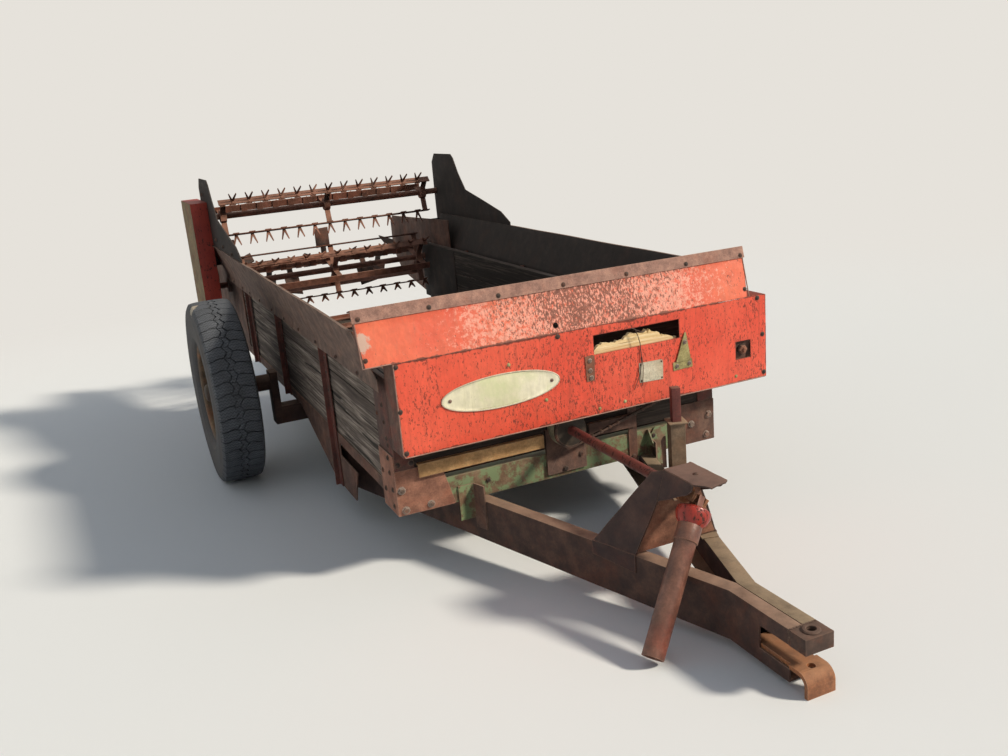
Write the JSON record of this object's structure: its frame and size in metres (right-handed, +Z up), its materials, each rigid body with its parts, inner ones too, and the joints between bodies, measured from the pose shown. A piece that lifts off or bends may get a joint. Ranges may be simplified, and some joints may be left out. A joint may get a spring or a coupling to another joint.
{
  "type": "manure spreader",
  "caption": "Old towed farm spreader with a wooden box, chain floor, beaters and spreading rotor, on one axle, with a long tongue and a hanging drive shaft.",
  "frame": {"origin": "middle of the bounding box at floor level", "axes": "+Z up, -Y towards the hitch, +X to the right seen from the front"},
  "size_m": [2.373, 5.7671, 1.6023],
  "materials": {
    "rust_steel": "rusted bare steel",
    "dark_steel": "dark rusted sheet",
    "maroon_paint": "faded dark red paint over rust",
    "tan_paint": "dusty tan, worn",
    "red_paint": "faded red paint with rust",
    "green_paint": "faded green paint",
    "old_wood": "weathered grey boards",
    "cast_iron": "old greasy casting",
    "tyre": "weathered rubber"
  },
  "bodies": {
    "frame": {"tongue_left": "rust_steel", "tongue_right": "tan_paint", "hitch_head": "rust_steel", "front_channel": "green_paint", "corner_gusset_left": "rust_steel", "corner_gusset_right": "rust_steel", "side_rail_left": "rust_steel", "side_rail_right": "rust_steel", "side_boards_left": "old_wood", "side_boards_right": "old_wood", "side_stakes_left": "maroon_paint", "side_stakes_right": "maroon_paint", "side_flare_left": "rust_steel", "side_flare_right": "rust_steel", "front_wall": "old_wood", "front_panel": "red_paint", "front_flare": "red_paint", "floor_boards": "old_wood", "floor_sills": "rust_steel", "axle": "rust_steel", "beater_plate_left": "dark_steel", "beater_plate_right": "dark_steel", "rear_arm_left": "rust_steel", "rear_arm_right": "rust_steel", "chain_guard": "red_paint", "floor_chain": "rust_steel", "floor_slats": "rust_steel", "floor_shafts": "rust_steel", "shaft_hood": "rust_steel", "stand_tube": "tan_paint", "front_straps": "rust_steel", "gear_case": "cast_iron", "shaft_bearings": "cast_iron", "cross_chain": "rust_steel", "input_shaft": "red_paint"},
    "wheel_left": {"tyre_left": "tyre", "rim_left": "tan_paint"},
    "wheel_right": {"tyre_right": "tyre", "rim_right": "tan_paint"},
    "upper_beater": {"upper_beater": "rust_steel"},
    "lower_beater": {"lower_beater": "rust_steel"},
    "spreading_rotor": {"spreading_rotor": "rust_steel"},
    "side_shaft": {"side_shaft": "rust_steel"},
    "drive_tube": {"drive_tube": "red_paint"},
    "stand_leg": {"stand_leg": "maroon_paint"}
  },
  "joints": [
    {"name": "wheel_left_spin", "type": "hinge", "parent": "frame", "child": "wheel_left", "pos_m": [-1.072, 0.48189, 0.4864], "axis": [1, 0, 0], "continuous": true},
    {"name": "wheel_right_spin", "type": "hinge", "parent": "frame", "child": "wheel_right", "pos_m": [1.072, 0.48189, 0.4864], "axis": [1, 0, 0], "continuous": true},
    {"name": "upper_beater_spin", "type": "hinge", "parent": "frame", "child": "upper_beater", "pos_m": [0, 2.00041, 1.34054], "axis": [1, 0, 0], "continuous": true},
    {"name": "lower_beater_spin", "type": "hinge", "parent": "frame", "child": "lower_beater", "pos_m": [0, 2.02287, 0.88209], "axis": [1, 0, 0], "continuous": true},
    {"name": "spreading_rotor_spin", "type": "hinge", "parent": "frame", "child": "spreading_rotor", "pos_m": [0, 2.57245, 0.90401], "axis": [1, 0, 0], "continuous": true},
    {"name": "side_shaft_spin", "type": "hinge", "parent": "frame", "child": "side_shaft", "pos_m": [0.8, 0.18713, 0.75009], "axis": [0, 0.9988, 0.0489], "continuous": true},
    {"name": "drive_tube_swing", "type": "hinge", "parent": "frame", "child": "drive_tube", "pos_m": [0, -2.32501, 0.42576], "axis": [-0.7878, -0.0301, 0.6151], "range_deg": [0, 75]},
    {"name": "stand_leg_slide", "type": "slide", "parent": "frame", "child": "stand_leg", "axis": [0, 0.0489, -0.9988], "range_m": [0, 0.2]}
  ]
}
